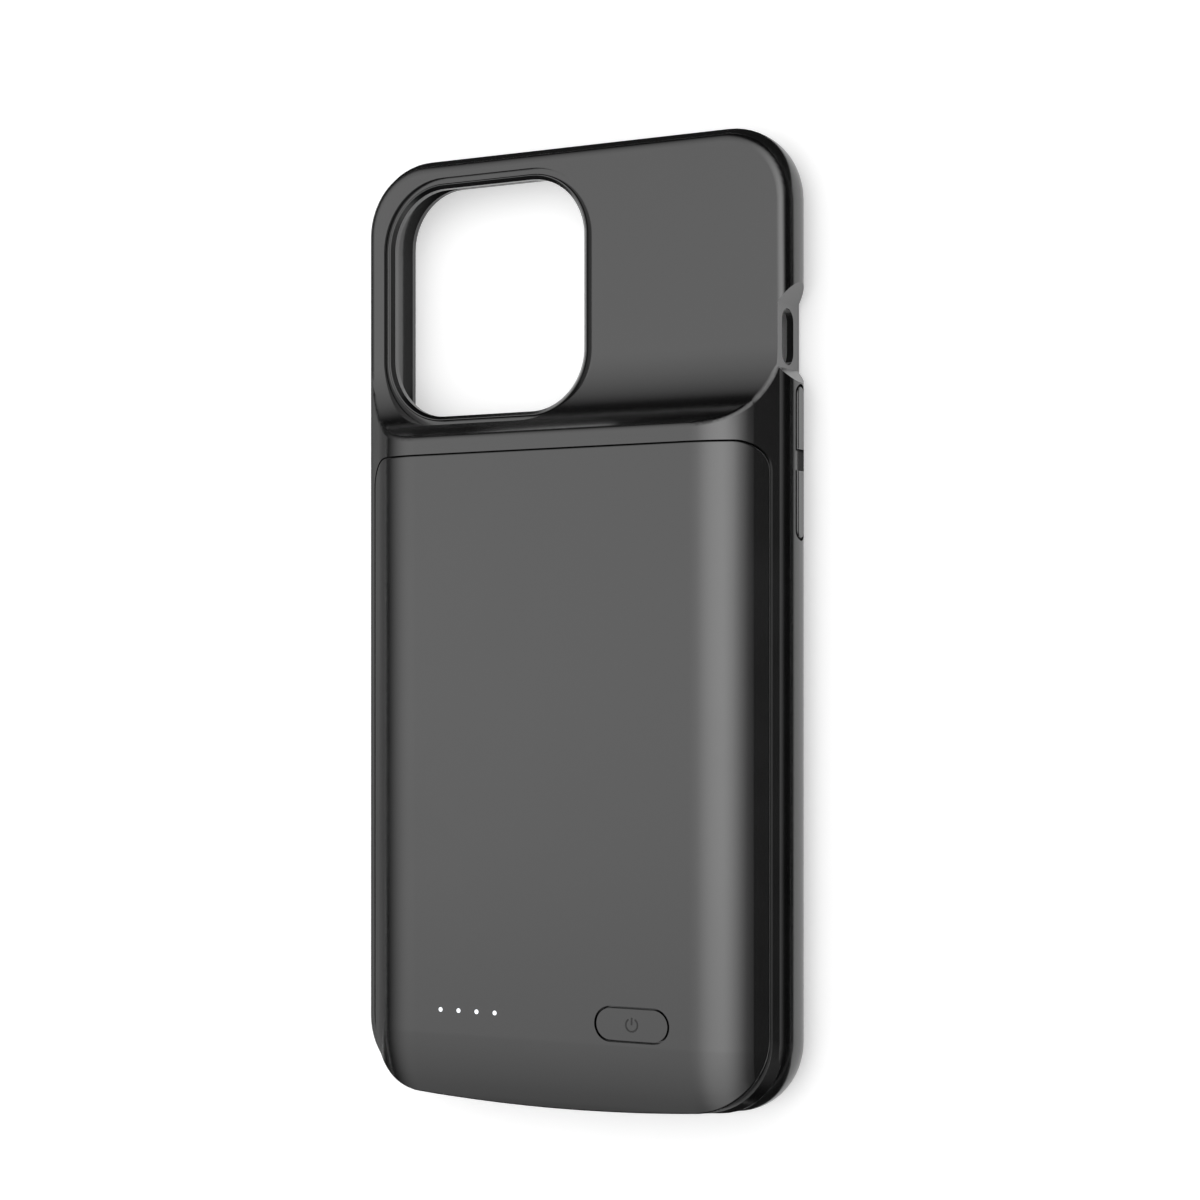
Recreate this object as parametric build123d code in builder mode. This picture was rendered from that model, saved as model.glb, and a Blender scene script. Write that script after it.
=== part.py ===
from build123d import *
import math
import os

# Battery charging case, in mm. It lies face down: Z=0 is the plane of the front lip, +Z points
# out of the back, +Y points to the window end and +X to the side with the volume keys.

# Outer form
case_width = 86.0
case_length = 169.6
corner_top = 13.0
corner_bottom = 12.5
bottom_bow_radius = 330.0
back_z = 10.1
side_top_z = 11.0
hump_z = 17.1
waist_z = 6.0
thin_edge_radius = 2.0
back_edge_radius = 4.7
front_edge_radius = 4.0
rim_height = 1.85
rim_wall = 0.7
rim_edge_radius = 0.5

# Scooped ramp from the thin end up to the crest of the battery end
ramp_start_y = 47.0
crest_y = 33.7
crest_radius = 1.2
thin_end_y = 45.5
thin_end_slope = 20.0
ramp_core_half_width = 34.0
ramp_core_y = 34.2
ramp_core_shoulder_y = 32.6
ramp_core_low_z = 13.9
ramp_core_high_z = 15.4

# Section of the battery end: flat, large arc, flank facet, then the shoulder of the frame
flat_half_width = 27.5
flank_radius = 15.0
flank_angle = 42.0
shoulder_half_width = 41.4
chin_inset = 0.1
chin_rim = 0.2
crown_start_y = -72.0
crown_radius = 30.0
crown_turn = 40.0

# Cover, seam and ledge
seam_y = 30.7
seam_gap = 0.12
side_seam_gap = 0.4
cover_half_width = 39.6
cover_bottom_inset = 0.7
cover_corner_top = 5.0
cover_corner_bottom = 12.9
cover_wall = 1.4
cover_edge_radius = 0.35
ledge_z = 10.6

# Pocket, lip and battery bay
pocket_width = 78.6
pocket_length = 161.4
pocket_corner = 11.5
top_wall = 3.0
lip_thickness = 1.0
lip_overhang = 1.1
pocket_depth = 7.5
bay_floor_z = 10.0
bay_half_width = 37.6
bay_top_y = 28.6
bay_bottom_y = -80.4
bay_corner_top = 4.0
bay_corner_bottom = 11.5

# Window in the upper back and the ring in its recess
window_x = -16.7
window_y = 58.6
recess_width = 43.7
recess_length = 45.0
recess_corner = 12.6
recess_floor_z = 9.2
groove_width = 1.1
window_width = 39.4
window_length = 41.0
window_corner = 10.6
ring_flange = 0.25
ring_fit = 0.1
ring_top_z = 10.25
ring_bevel = 0.6
ring_edge = 0.2

# Notch in the side wall, with its slot
notch_depth = 2.5
notch_outer_bottom = 40.7
notch_inner_bottom = 43.2
notch_inner_top = 54.0
notch_outer_top = 57.6
notch_slot_length = 9.6
notch_slot_height = 4.6

# Keys in the side walls
key_z = 6.1
key_height = 2.5
key_gap = 0.45
key_proud = 0.05
key_recess_depth = 0.9
key_lift = 0.4
key_stem_height = 2.0
key_stem_gap = 0.2
key_flange_height = 3.0
key_flange = 0.45
key_relief_depth = 0.5
key_relief_gap = 0.3
key_flange_gap = 0.1
key_flange_reach = 0.8
key_stem_share = 0.65
key_edge_radius = 0.3
volume_up_bottom = 29.35
volume_up_top = 40.0
volume_down_bottom = 14.4
volume_down_top = 25.8
side_key_y = 29.5
side_key_length = 19.0

# Charge lights and power button in the cover
light_count = 4
light_pitch = 3.72
light_x = -16.4
light_y = -67.8
light_diameter = 0.95
light_hole_gap = 0.05
light_bar = 1.2
light_bar_width = 3.0
light_leg_width = 1.8
button_x = 16.35
button_y = -68.35
button_length = 13.7
button_width = 5.4
button_gap = 0.4
button_sunk = 0.05
button_flange = 1.1
button_flange_z = 14.6
button_post_diameter = 3.0

# Main board and what stands on it
board_z = 10.9
board_thickness = 0.8
board_half_width = 30.0
board_top_y = -57.0
board_bottom_y = -80.9
board_corner_top = 2.0
board_corner_bottom = 6.0
screw_x = 27.0
screw_top_y = -60.0
screw_bottom_y = -73.0
screw_head_diameter = 2.8
screw_head_height = 0.8
screw_shank_diameter = 1.4
screw_hole_diameter = 1.5
screw_tip_z = 10.05
boss_diameter = 4.2
controller_size = 5.0
controller_x = 2.0
controller_y = -68.0
charger_size = 4.0
charger_x = -5.0
charger_y = -60.6
chip_height = 0.8
inductor_size = 6.6
inductor_height = 2.8
inductor_x = 6.5
inductor_y = -61.2
inductor_core = 4.4
inductor_edge = 0.5
capacitor_length = 1.6
capacitor_width = 0.8
capacitor_pitch = 2.6
capacitor_count = 4
capacitor_x = 13.5
capacitor_y = -76.0
switch_size = 4.6
switch_height = 1.5
switch_hole_diameter = 2.7
switch_stem_diameter = 2.4
switch_stem_top = 13.75
switch_stem_bottom = 12.6
switch_well_z = 12.2

# Battery
tape_thickness = 0.15
cell_half_width = 31.5
cell_top_y = 27.5
cell_bottom_y = -51.5
cell_thickness = 4.4
cell_edge = 0.8
cell_corner = 3.0
foam_half_width = 24.0
foam_top_y = 20.0
foam_bottom_y = -40.0
tape_margin = 0.5
protection_half_width = 16.0
protection_top_y = -51.9
protection_bottom_y = -55.2
protection_thickness = 0.8
tab_x = 10.0
tab_width = 4.0
tab_thickness = 0.15
tab_reach = 1.4
lead_diameter = 1.2
lead_x = 1.5
lead_pitch = 2.6
lead_start_y = -52.4
lead_end_y = -58.8
lead_rise = 1.2
rib_thickness = 0.8
rib_height = 2.6
end_rib_x = 22.0
end_rib_length = 11.0
end_rib_y = -56.2
side_rib_x = 32.3
side_rib_y = -12.0
side_rib_pitch = 45.0
side_rib_length = 16.0
cover_tab_length = 8.0
cover_tab_places = (-45.0, -10.0, 20.0)
cover_tab_thickness = 0.55
cover_tab_gap = 0.15
cover_tab_height = 1.0

# Output plug in the pocket and input port in the bottom end
plug_z = 5.2
plug_blade_width = 6.7
plug_blade_thickness = 1.5
plug_blade_length = 6.6
plug_slot_half_width = 6.2
plug_blade_corner = 0.7
plug_slot_depth = 3.0
plug_slot_bottom_z = 2.4
plug_fit = 0.1
riser_thickness = 0.8
riser_front = 0.5
riser_half_width = 5.5
riser_bottom_z = 3.2
contact_count = 8
contact_pitch = 0.65
contact_width = 0.4
contact_length = 2.8
contact_depth = 0.12
port_z = 11.65
port_width = 9.0
port_height = 3.2
port_length = 8.4
port_wall = 0.3
port_gap = 0.2
port_mouth_sunk = 0.2
port_tongue_width = 6.7
port_tongue_thickness = 0.7
port_tongue_length = 6.6
sound_slot_length = 3.6
sound_slot_height = 1.8
sound_slot_pitch = 5.2
sound_slot_count = 3
sound_slot_x = 16.8

# Values that follow from the sizes above
half_width = case_width / 2
half_length = case_length / 2
pocket_top_y = half_length - top_wall
pocket_bottom_y = pocket_top_y - pocket_length
pocket_y = (pocket_top_y + pocket_bottom_y) / 2
pocket_floor_z = lip_thickness + pocket_depth
ramp_rise = hump_z - back_z
ramp_run = ramp_start_y - crest_y
ramp_radius = (ramp_rise**2 + ramp_run**2) / (2 * ramp_rise)
ramp_end_angle = math.asin(ramp_run / ramp_radius)
flank_tan = math.tan(math.radians(flank_angle))
flank_sin = math.sin(math.radians(flank_angle))
flank_cos = math.cos(math.radians(flank_angle))
flank_end_x = flat_half_width + flank_radius * flank_sin
flank_end_z = hump_z - flank_radius * (1 - flank_cos)
seam_half_width = cover_half_width + side_seam_gap
rim_z = flank_end_z - (seam_half_width - flank_end_x) * flank_tan
shoulder_z = flank_end_z - (shoulder_half_width - flank_end_x) * flank_tan
cover_bottom_y = -half_length + cover_bottom_inset
cover_ceiling_z = hump_z - cover_wall
board_top_z = board_z + board_thickness
cell_floor_z = bay_floor_z + tape_thickness
cell_top_z = cell_floor_z + cell_thickness
key_floor_x = half_width - key_recess_depth
key_flange_x = pocket_width / 2 + key_relief_depth - key_flange_gap
screw_places = [(side * screw_x, y) for side in (-1, 1) for y in (screw_top_y, screw_bottom_y)]
light_places = [(light_x + (i - (light_count - 1) / 2) * light_pitch, light_y) for i in range(light_count)]
riser_y = pocket_bottom_y - riser_front - riser_thickness
port_mouth_y = cover_bottom_y + port_mouth_sunk
port_back_y = port_mouth_y + port_length
clear = 5.0


def bowed_outline(x, top, bottom, corner_high, corner_low):
    """Plan outline with a bowed bottom end, from -x to x and from bottom to top, with round corners."""
    bow = bottom_bow_radius - math.sqrt(bottom_bow_radius**2 - x**2)
    with BuildSketch() as outline:
        with BuildLine():
            low_end = ThreePointArc((-x, bottom + bow), (0, bottom), (x, bottom + bow))
            Polyline(low_end @ 1, (x, top), (-x, top), low_end @ 0)
        make_face()
        fillet(outline.vertices().group_by(Axis.Y)[-1], corner_high)
        fillet(outline.vertices().group_by(Axis.Y)[0], corner_low)
    return outline.sketch


def cover_outline(inset):
    """Plan outline of the cover, moved in by inset."""
    return bowed_outline(
        cover_half_width - inset,
        seam_y - seam_gap - inset,
        cover_bottom_y + inset,
        cover_corner_top - inset,
        cover_corner_bottom - inset,
    )


def hump_section(width, foot_z, inset=0.0):
    """Section of the battery end across the case, width to each side, moved in by inset."""
    radius = flank_radius - inset
    knee_x = flat_half_width + radius * flank_sin
    knee_z = hump_z - flank_radius + radius * flank_cos
    top = hump_z - inset
    with BuildSketch() as section:
        with BuildLine():
            flat = Line((0, top), (flat_half_width, top))
            arc = CenterArc((flat_half_width, hump_z - flank_radius), radius, 90, -flank_angle)
            facet = Line(arc @ 1, (width, knee_z - (width - knee_x) * flank_tan))
            Polyline(facet @ 1, (width, foot_z), (0, foot_z), flat @ 0)
        make_face()
        mirror(about=Plane.YZ)
    return section.sketch


def cover_form(inset, edge_radius):
    """Solid form of the cover, moved in by inset: section, bottom crown and plan outline together."""
    with BuildPart() as form:
        with BuildSketch(Plane.XZ.offset(-seam_y)):
            add(hump_section(cover_half_width - inset, ledge_z, inset))
        extrude(amount=seam_y - crown_start_y)
        with BuildSketch(Plane.XZ.offset(-crown_start_y)):
            add(hump_section(cover_half_width - inset, ledge_z, inset))
        revolve(axis=Axis((0, crown_start_y, hump_z - crown_radius), (1, 0, 0)), revolution_arc=crown_turn)
        with BuildSketch(Plane.XY.offset(ledge_z)):
            add(cover_outline(inset))
        extrude(amount=hump_z, mode=Mode.INTERSECT)
        if edge_radius:
            walls = form.faces().filter_by(lambda face: abs(face.normal_at().Z) < 0.01)
            fillet(walls.edges().filter_by(is_rim), edge_radius)
    return form.part


def is_rim(edge):
    """True for an edge of the cover's rim, above the ledge and not upright."""
    level = (edge @ 0.5).Z > ledge_z + seam_gap
    upright = abs((edge % 0.5).Z) > 0.99
    return level and not upright


def pill(length, height, square_end=0):
    """A pill along local X, with a square end at -1 or +1 where asked."""
    with BuildSketch() as shape:
        SlotOverall(length, height)
        if square_end:
            with Locations((square_end * length / 4, 0)):
                Rectangle(length / 2, height)
    return shape.sketch


def key_opening(keys):
    """Cutter for a row of keys in the +X wall: outer recess, stem holes and inner reliefs."""
    low = min(key[0] for key in keys) - key_gap
    high = max(key[1] for key in keys) + key_gap
    with BuildPart() as opening:
        with BuildSketch(Plane.YZ.offset(key_floor_x)):
            with Locations(((low + high) / 2, key_z)):
                SlotOverall(high - low, key_height + 2 * key_gap)
        extrude(amount=clear)
        for bottom, top in keys:
            stem = (top - bottom) * key_stem_share
            with BuildSketch(Plane.YZ.offset(pocket_width / 2 - clear)):
                with Locations(((bottom + top) / 2, key_z)):
                    Rectangle(stem + 2 * key_stem_gap, key_stem_height + 2 * key_stem_gap)
            extrude(amount=2 * clear)
            with BuildSketch(Plane.YZ.offset(pocket_width / 2 - clear)):
                with Locations(((bottom + top) / 2, key_z)):
                    Rectangle(
                        stem + 2 * (key_flange_reach + key_relief_gap),
                        key_flange_height + 2 * key_relief_gap,
                    )
            extrude(amount=clear + key_relief_depth)
    return opening.part


def key_form(bottom, top, square_end=0):
    """A key of the +X wall: cap in the recess, stem through the wall and flange inside."""
    middle = (bottom + top) / 2
    stem = (top - bottom) * key_stem_share
    with BuildPart() as key:
        with BuildSketch(Plane.YZ.offset(key_floor_x + key_lift)):
            with Locations((middle, key_z)):
                add(pill(top - bottom, key_height, square_end))
        extrude(amount=half_width + key_proud - key_floor_x - key_lift)
        fillet(key.faces().sort_by(Axis.X)[-1].edges(), key_edge_radius)
        with BuildSketch(Plane.YZ.offset(key_flange_x)):
            with Locations((middle, key_z)):
                Rectangle(stem, key_stem_height)
        extrude(amount=key_floor_x + key_lift - key_flange_x)
        with BuildSketch(Plane.YZ.offset(key_flange_x)):
            with Locations((middle, key_z)):
                Rectangle(stem + 2 * key_flange_reach, key_flange_height)
        extrude(amount=-key_flange)
    return key.part


volume_up_span = (volume_up_bottom, volume_up_top)
volume_down_span = (volume_down_bottom, volume_down_top)
side_key_span = (side_key_y - side_key_length / 2, side_key_y + side_key_length / 2)
volume_opening = key_opening([volume_up_span, volume_down_span])
side_opening = key_opening([side_key_span])

def slab():
    """Body of the frame between its round side edges."""
    with BuildPart() as body:
        with BuildSketch(Plane.XY.offset(rim_height)):
            add(bowed_outline(half_width, half_length, -half_length, corner_top, corner_bottom))
        extrude(amount=side_top_z - rim_height)
        fillet(body.edges().group_by(Axis.Z)[-1], back_edge_radius)
        fillet(body.edges().group_by(Axis.Z)[0], front_edge_radius)
    return body.part


# Thin window end, rounded along its lower back
with BuildPart() as thin_end:
    add(slab())
    split(bisect_by=Plane.XY.offset(back_z), keep=Keep.BOTTOM)
    fillet(thin_end.edges().group_by(Axis.Z)[-1], thin_edge_radius)

# Battery end up to the rim of the cover, with a slope down to the thin end, and the front rim
with BuildPart() as battery_end:
    add(slab())
    run_out = Vector(0, math.sin(math.radians(thin_end_slope)), math.cos(math.radians(thin_end_slope)))
    split(bisect_by=Plane((0, thin_end_y, back_z), z_dir=run_out), keep=Keep.BOTTOM)
    with BuildSketch(Plane.XY.offset(shoulder_z)) as shoulder_outline:
        add(
            bowed_outline(
                shoulder_half_width,
                seam_y + clear,
                chin_inset - half_length,
                cover_corner_top,
                corner_bottom,
            )
        )
    with BuildSketch(Plane.XY.offset(rim_z)):
        add(
            bowed_outline(
                seam_half_width,
                seam_y + clear,
                cover_bottom_y - seam_gap - chin_rim,
                cover_corner_top,
                cover_corner_bottom + seam_gap,
            )
        )
    loft()
    extrude(shoulder_outline.sketch, amount=waist_z - shoulder_z)
    with BuildSketch():
        with Locations((0, pocket_y)):
            RectangleRounded(
                pocket_width + 2 * rim_wall,
                pocket_length + 2 * rim_wall,
                pocket_corner + rim_wall,
            )
    extrude(amount=waist_z)
    fillet(battery_end.edges().group_by(Axis.Z)[0], rim_edge_radius)

# Cutter above the scooped ramp
with BuildPart() as ramp_cut:
    with BuildSketch(Plane.YZ):
        with BuildLine():
            ramp = CenterArc((ramp_start_y, back_z + ramp_radius), ramp_radius, 270, -math.degrees(ramp_end_angle))
            lift = Line(ramp @ 1, (crest_y - clear / math.tan(ramp_end_angle), hump_z + clear))
            Polyline(lift @ 1, (case_length, hump_z + clear), (case_length, back_z), ramp @ 0)
        make_face()
    extrude(amount=case_width, both=True)

# Crest block, scooped to the ramp and rounded along its crest
with BuildPart() as crest_block:
    with BuildSketch(Plane.XZ.offset(-ramp_start_y)):
        add(hump_section(shoulder_half_width, pocket_floor_z))
    extrude(amount=ramp_start_y - seam_y + clear)
    add(ramp_cut.part, mode=Mode.SUBTRACT)
    ramp_face = crest_block.faces().filter_by(GeomType.CYLINDER).sort_by(Axis.Y)[-1]
    crest_edges = ramp_face.edges().filter_by(lambda edge: (edge @ 0.5).Z > back_z + seam_gap)
    fillet(crest_edges, crest_radius)

with BuildPart() as frame_shell:
    add(thin_end.part)
    add(battery_end.part)
    add(crest_block.part)
    add(ramp_cut.part, mode=Mode.SUBTRACT)
    # Hollow under the ramp
    with BuildSketch(Plane.YZ):
        Polygon(
            (bay_top_y - clear, bay_floor_z),
            (ramp_core_y, bay_floor_z),
            (ramp_core_y, ramp_core_low_z),
            (ramp_core_shoulder_y, ramp_core_high_z),
            (bay_top_y - clear, ramp_core_high_z),
            align=None,
        )
    extrude(amount=ramp_core_half_width, both=True, mode=Mode.SUBTRACT)
    # Recess for the cover, with its ledge, and the battery bay below it
    with BuildSketch(Plane.XY.offset(ledge_z)):
        add(
            bowed_outline(
                seam_half_width,
                seam_y,
                cover_bottom_y - seam_gap,
                cover_corner_top + seam_gap,
                cover_corner_bottom + seam_gap,
            )
        )
    extrude(amount=hump_z, mode=Mode.SUBTRACT)
    with BuildSketch(Plane.XY.offset(bay_floor_z)):
        with BuildLine():
            FilletPolyline(
                (-bay_half_width, bay_bottom_y),
                (bay_half_width, bay_bottom_y),
                (bay_half_width, bay_top_y),
                (-bay_half_width, bay_top_y),
                radius=[bay_corner_bottom] * 2 + [bay_corner_top] * 2,
                close=True,
            )
        make_face()
    extrude(amount=clear, mode=Mode.SUBTRACT)
    # Pocket with its lip, open at the front
    with BuildSketch(Plane.XY.offset(lip_thickness)):
        with Locations((0, pocket_y)):
            RectangleRounded(pocket_width, pocket_length, pocket_corner)
    extrude(amount=pocket_depth, mode=Mode.SUBTRACT)
    with BuildSketch():
        with Locations((0, pocket_y)):
            RectangleRounded(
                pocket_width - 2 * lip_overhang,
                pocket_length - 2 * lip_overhang,
                pocket_corner - lip_overhang,
            )
    extrude(amount=lip_thickness, mode=Mode.SUBTRACT)
    # Window and the recess round it
    with BuildSketch(Plane.XY.offset(recess_floor_z)):
        with Locations((window_x, window_y)):
            RectangleRounded(recess_width, recess_length, recess_corner)
    extrude(amount=hump_z, mode=Mode.SUBTRACT)
    with BuildSketch(Plane.XY.offset(lip_thickness)):
        with Locations((window_x, window_y)):
            RectangleRounded(window_width, window_length, window_corner)
    extrude(amount=hump_z, mode=Mode.SUBTRACT)
    # Notch with bevelled ends, and the slot in its floor
    with BuildSketch():
        with BuildLine():
            Polyline(
                (half_width, notch_outer_bottom),
                (half_width - notch_depth, notch_inner_bottom),
                (half_width - notch_depth, notch_inner_top),
                (half_width, notch_outer_top),
                (half_width + clear, notch_outer_top),
                (half_width + clear, notch_outer_bottom),
                close=True,
            )
        make_face()
    extrude(amount=hump_z, mode=Mode.SUBTRACT)
    with BuildSketch(Plane.YZ.offset(half_width - clear)):
        with Locations(((notch_inner_bottom + notch_inner_top) / 2, key_z)):
            SlotOverall(notch_slot_length, notch_slot_height)
    extrude(amount=2 * clear, mode=Mode.SUBTRACT)
    # Openings for the keys in both side walls
    add(volume_opening, mode=Mode.SUBTRACT)
    add(side_opening.mirror(Plane.YZ), mode=Mode.SUBTRACT)
    # Slot in the chin for the plug, open to the pocket and to the bay
    with BuildSketch(Plane.XY.offset(plug_slot_bottom_z)):
        with Locations((0, pocket_bottom_y)):
            Rectangle(2 * plug_slot_half_width, 2 * plug_slot_depth)
    extrude(amount=ledge_z - plug_slot_bottom_z, mode=Mode.SUBTRACT)
    # Sound slots through the chin, and the mouth of the input port
    with BuildSketch(Plane.XZ.offset(-pocket_bottom_y)):
        for side in (-1, 1):
            with Locations((side * sound_slot_x, plug_z)):
                with GridLocations(sound_slot_pitch, 1, sound_slot_count, 1):
                    SlotOverall(sound_slot_length, sound_slot_height)
    extrude(amount=2 * clear, mode=Mode.SUBTRACT)
    with BuildSketch(Plane.XZ.offset(-bay_bottom_y)):
        with Locations((0, port_z)):
            SlotOverall(port_width + 2 * port_gap, port_height + 2 * port_gap)
    extrude(amount=2 * clear, mode=Mode.SUBTRACT)
    # Bosses for the board, and ribs that locate the cell
    with BuildSketch(Plane.XY.offset(bay_floor_z)):
        with Locations(*screw_places):
            Circle(boss_diameter / 2)
            Circle(screw_hole_diameter / 2, mode=Mode.SUBTRACT)
    extrude(amount=board_z - bay_floor_z)
    with BuildSketch(Plane.XY.offset(bay_floor_z)):
        with Locations((0, end_rib_y)):
            with GridLocations(2 * end_rib_x, 1, 2, 1):
                Rectangle(end_rib_length, rib_thickness)
        with Locations((0, side_rib_y)):
            with GridLocations(2 * side_rib_x, side_rib_pitch, 2, 2):
                Rectangle(rib_thickness, side_rib_length)
    extrude(amount=rib_height)

# Window ring: a flange on the recess floor and a bevelled lip round the window
with BuildPart() as window_ring:
    with BuildSketch(Plane.XY.offset(recess_floor_z)):
        with Locations((window_x, window_y)):
            RectangleRounded(recess_width - 2 * ring_fit, recess_length - 2 * ring_fit, recess_corner - ring_fit)
    extrude(amount=ring_flange)
    with BuildSketch(Plane.XY.offset(recess_floor_z)):
        with Locations((window_x, window_y)):
            RectangleRounded(
                recess_width - 2 * groove_width,
                recess_length - 2 * groove_width,
                recess_corner - groove_width,
            )
    extrude(amount=ring_top_z - recess_floor_z)
    chamfer(window_ring.edges().group_by(Axis.Z)[-1], ring_edge)
    with BuildSketch(Plane.XY.offset(recess_floor_z)):
        with Locations((window_x, window_y)):
            RectangleRounded(window_width, window_length, window_corner)
    extrude(amount=clear, mode=Mode.SUBTRACT)
    chamfer(window_ring.faces().sort_by(Axis.Z)[-1].inner_wires()[0].edges(), ring_bevel)

# Back cover: a domed shell with holes for the lights, the button and the port, and locating tabs
cover_outer = cover_form(0.0, cover_edge_radius)
cover_cavity = cover_form(cover_wall, 0.0)
with BuildPart() as back_cover:
    add(cover_outer)
    add(cover_cavity, mode=Mode.SUBTRACT)
    with BuildSketch(Plane.XY.offset(hump_z)):
        with Locations(*light_places):
            Circle(light_diameter / 2 + light_hole_gap)
        with Locations((button_x, button_y)):
            SlotOverall(button_length + 2 * button_gap, button_width + 2 * button_gap)
    extrude(amount=-2 * cover_wall, mode=Mode.SUBTRACT)
    with BuildSketch(Plane.XZ.offset(-bay_bottom_y)):
        with Locations((0, port_z)):
            SlotOverall(port_width + 2 * port_gap, port_height + 2 * port_gap)
    extrude(amount=2 * clear, mode=Mode.SUBTRACT)
    for tab_y in cover_tab_places:
        with BuildSketch(Plane.XZ.offset(-tab_y)):
            with BuildLine():
                Polyline(
                    (bay_half_width - cover_tab_gap, bay_floor_z + cover_tab_gap),
                    (bay_half_width - cover_tab_gap, ledge_z),
                    (cover_half_width - cover_wall / 2, ledge_z),
                    (bay_half_width - cover_tab_gap, ledge_z + cover_tab_height),
                    (bay_half_width - cover_tab_gap - cover_tab_thickness, ledge_z + cover_tab_height),
                    (bay_half_width - cover_tab_gap - cover_tab_thickness, bay_floor_z + cover_tab_gap),
                    close=True,
                )
            make_face()
            mirror(about=Plane.YZ)
        extrude(amount=cover_tab_length / 2, both=True)

# Power button: cap in the cover, flange under it and a post down to the switch
with BuildPart() as power_button:
    with BuildSketch(Plane.XY.offset(cover_ceiling_z - button_gap)):
        with Locations((button_x, button_y)):
            SlotOverall(button_length, button_width)
    extrude(amount=hump_z - button_sunk - cover_ceiling_z + button_gap)
    with BuildSketch(Plane.XY.offset(button_flange_z)):
        with Locations((button_x, button_y)):
            SlotOverall(button_length + 2 * button_flange, button_width + 2 * button_flange)
    extrude(amount=cover_ceiling_z - button_gap - button_flange_z)
    with BuildSketch(Plane.XY.offset(switch_stem_top)):
        with Locations((button_x, button_y)):
            Circle(button_post_diameter / 2)
    extrude(amount=button_flange_z - switch_stem_top)

# Switch on the board: a body with a well, and the stem that moves in it
with BuildPart() as switch_body:
    with BuildSketch(Plane.XY.offset(board_top_z)):
        with Locations((button_x, button_y)):
            RectangleRounded(switch_size, switch_size, board_thickness / 2)
    extrude(amount=switch_height)
    with BuildSketch(Plane.XY.offset(switch_well_z)):
        with Locations((button_x, button_y)):
            Circle(switch_hole_diameter / 2)
    extrude(amount=clear, mode=Mode.SUBTRACT)

with BuildPart() as switch_stem:
    with BuildSketch(Plane.XY.offset(switch_stem_bottom)):
        with Locations((button_x, button_y)):
            Circle(switch_stem_diameter / 2)
    extrude(amount=switch_stem_top - switch_stem_bottom)

# Light guide: a bar under the cover, tips in its holes and legs down to the light chips
with BuildPart() as light_guide:
    with BuildSketch(Plane.XY.offset(cover_ceiling_z)):
        with Locations((light_x, light_y)):
            SlotOverall(light_pitch * light_count, light_bar_width)
    extrude(amount=-light_bar)
    with BuildSketch(Plane.XY.offset(hump_z)):
        with Locations(*light_places):
            Circle(light_diameter / 2)
    extrude(amount=-(hump_z - cover_ceiling_z))
    with BuildSketch(Plane.XY.offset(cover_ceiling_z - light_bar)):
        with Locations(*light_places):
            Rectangle(light_leg_width, light_leg_width)
    extrude(amount=-(cover_ceiling_z - light_bar - board_top_z - chip_height))

with BuildPart() as light_chips:
    with BuildSketch(Plane.XY.offset(board_top_z)):
        with Locations(*light_places):
            Rectangle(capacitor_length, capacitor_width)
    extrude(amount=chip_height)

# Main board with its notch for the port and its screw holes
with BuildPart() as main_board:
    with BuildSketch(Plane.XY.offset(board_z)):
        with BuildLine():
            FilletPolyline(
                (-board_half_width, board_bottom_y),
                (board_half_width, board_bottom_y),
                (board_half_width, board_top_y),
                (-board_half_width, board_top_y),
                radius=[board_corner_bottom] * 2 + [board_corner_top] * 2,
                close=True,
            )
        make_face()
        with Locations((0, board_bottom_y)):
            Rectangle(port_width + 2 * port_gap, 2 * (port_back_y + port_gap - board_bottom_y), mode=Mode.SUBTRACT)
        with Locations(*screw_places):
            Circle(screw_hole_diameter / 2, mode=Mode.SUBTRACT)
    extrude(amount=board_thickness)

with BuildPart() as board_screws:
    with BuildSketch(Plane.XY.offset(board_top_z)):
        with Locations(*screw_places):
            Circle(screw_head_diameter / 2)
    extrude(amount=screw_head_height)
    with BuildSketch(Plane.XY.offset(screw_tip_z)):
        with Locations(*screw_places):
            Circle(screw_shank_diameter / 2)
    extrude(amount=board_top_z - screw_tip_z)

with BuildPart() as controller_chip:
    with BuildSketch(Plane.XY.offset(board_top_z)):
        with Locations((controller_x, controller_y)):
            Rectangle(controller_size, controller_size)
    extrude(amount=chip_height)

with BuildPart() as charge_chip:
    with BuildSketch(Plane.XY.offset(board_top_z)):
        with Locations((charger_x, charger_y)):
            Rectangle(charger_size, charger_size)
    extrude(amount=chip_height)

with BuildPart() as power_inductor:
    with BuildSketch(Plane.XY.offset(board_top_z)):
        with Locations((inductor_x, inductor_y)):
            RectangleRounded(inductor_size, inductor_size, inductor_edge)
    extrude(amount=inductor_height)
    with BuildSketch(Plane.XY.offset(board_top_z + inductor_height)):
        with Locations((inductor_x, inductor_y)):
            Circle(inductor_core / 2)
    extrude(amount=-inductor_edge, mode=Mode.SUBTRACT)

with BuildPart() as board_capacitors:
    with BuildSketch(Plane.XY.offset(board_top_z)):
        for side in (-1, 1):
            with Locations((side * capacitor_x, capacitor_y)):
                with GridLocations(capacitor_pitch, 1, capacitor_count, 1):
                    Rectangle(capacitor_width, capacitor_length)
    extrude(amount=chip_height)

# Battery: tape on the bay floor, the sealed cell, its tabs and protection board, and a foam pad
with BuildPart() as battery_tape:
    with BuildSketch(Plane.XY.offset(bay_floor_z)):
        with Locations((0, (cell_top_y + protection_bottom_y) / 2)):
            Rectangle(2 * (cell_half_width - tape_margin), cell_top_y - protection_bottom_y)
    extrude(amount=tape_thickness)

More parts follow.
